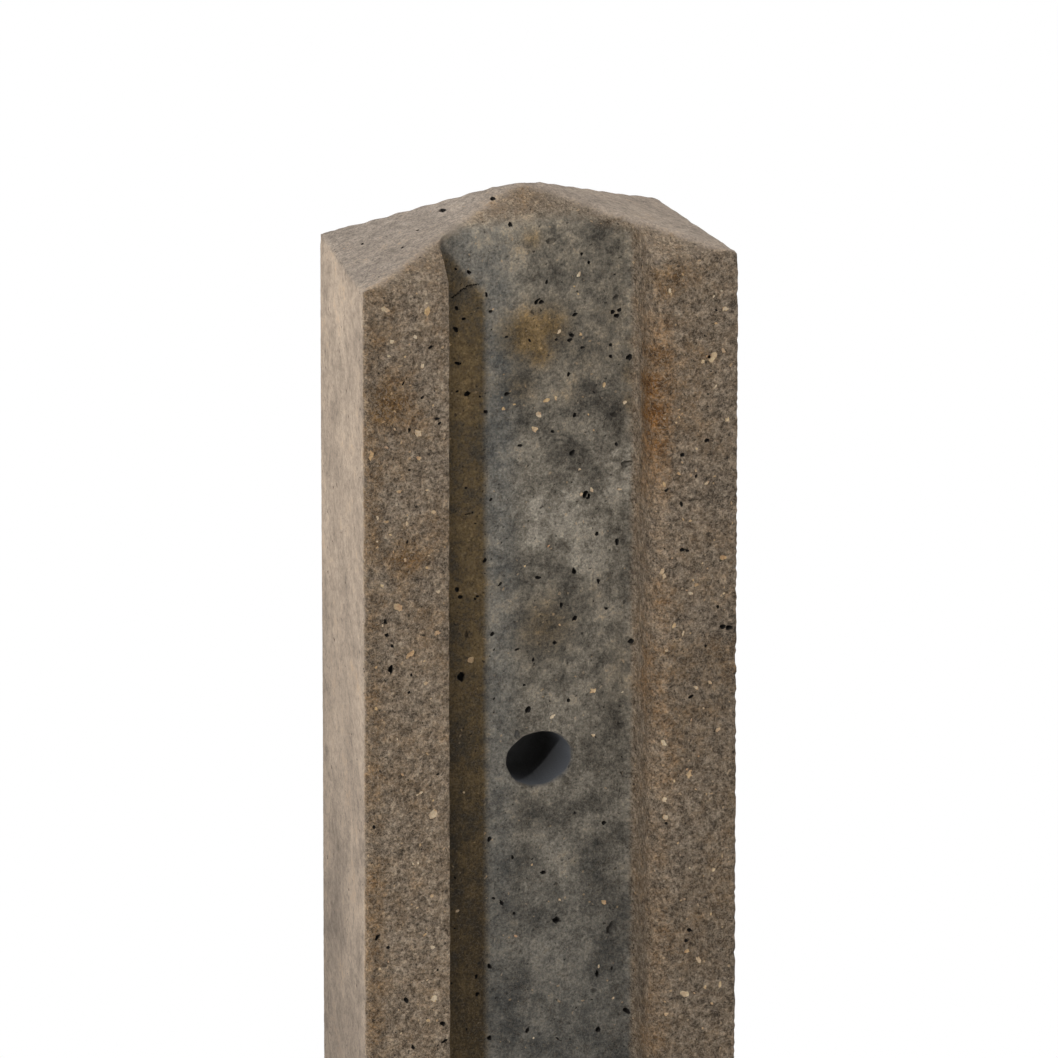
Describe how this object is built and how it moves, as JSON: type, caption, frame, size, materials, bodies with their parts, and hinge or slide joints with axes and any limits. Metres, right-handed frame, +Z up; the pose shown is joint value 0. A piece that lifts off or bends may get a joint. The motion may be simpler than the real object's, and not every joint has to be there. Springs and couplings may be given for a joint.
{
  "type": "concrete fence post",
  "caption": "Cast concrete end post with a pyramid cap, an open slot down its front for the edge of a fence panel, and a fixing hole through the slot's floor.",
  "frame": {"origin": "middle of the foot, on the ground plane under the post", "axes": "+Z up the post to the cap, -Y out of the slotted face, X across the slotted face"},
  "size_m": [0.0996, 0.05, 1.7503],
  "materials": {
    "concrete": "weathered cast concrete, rough and pitted"
  },
  "bodies": {
    "root": {"concrete_post": "concrete"}
  },
  "joints": []
}
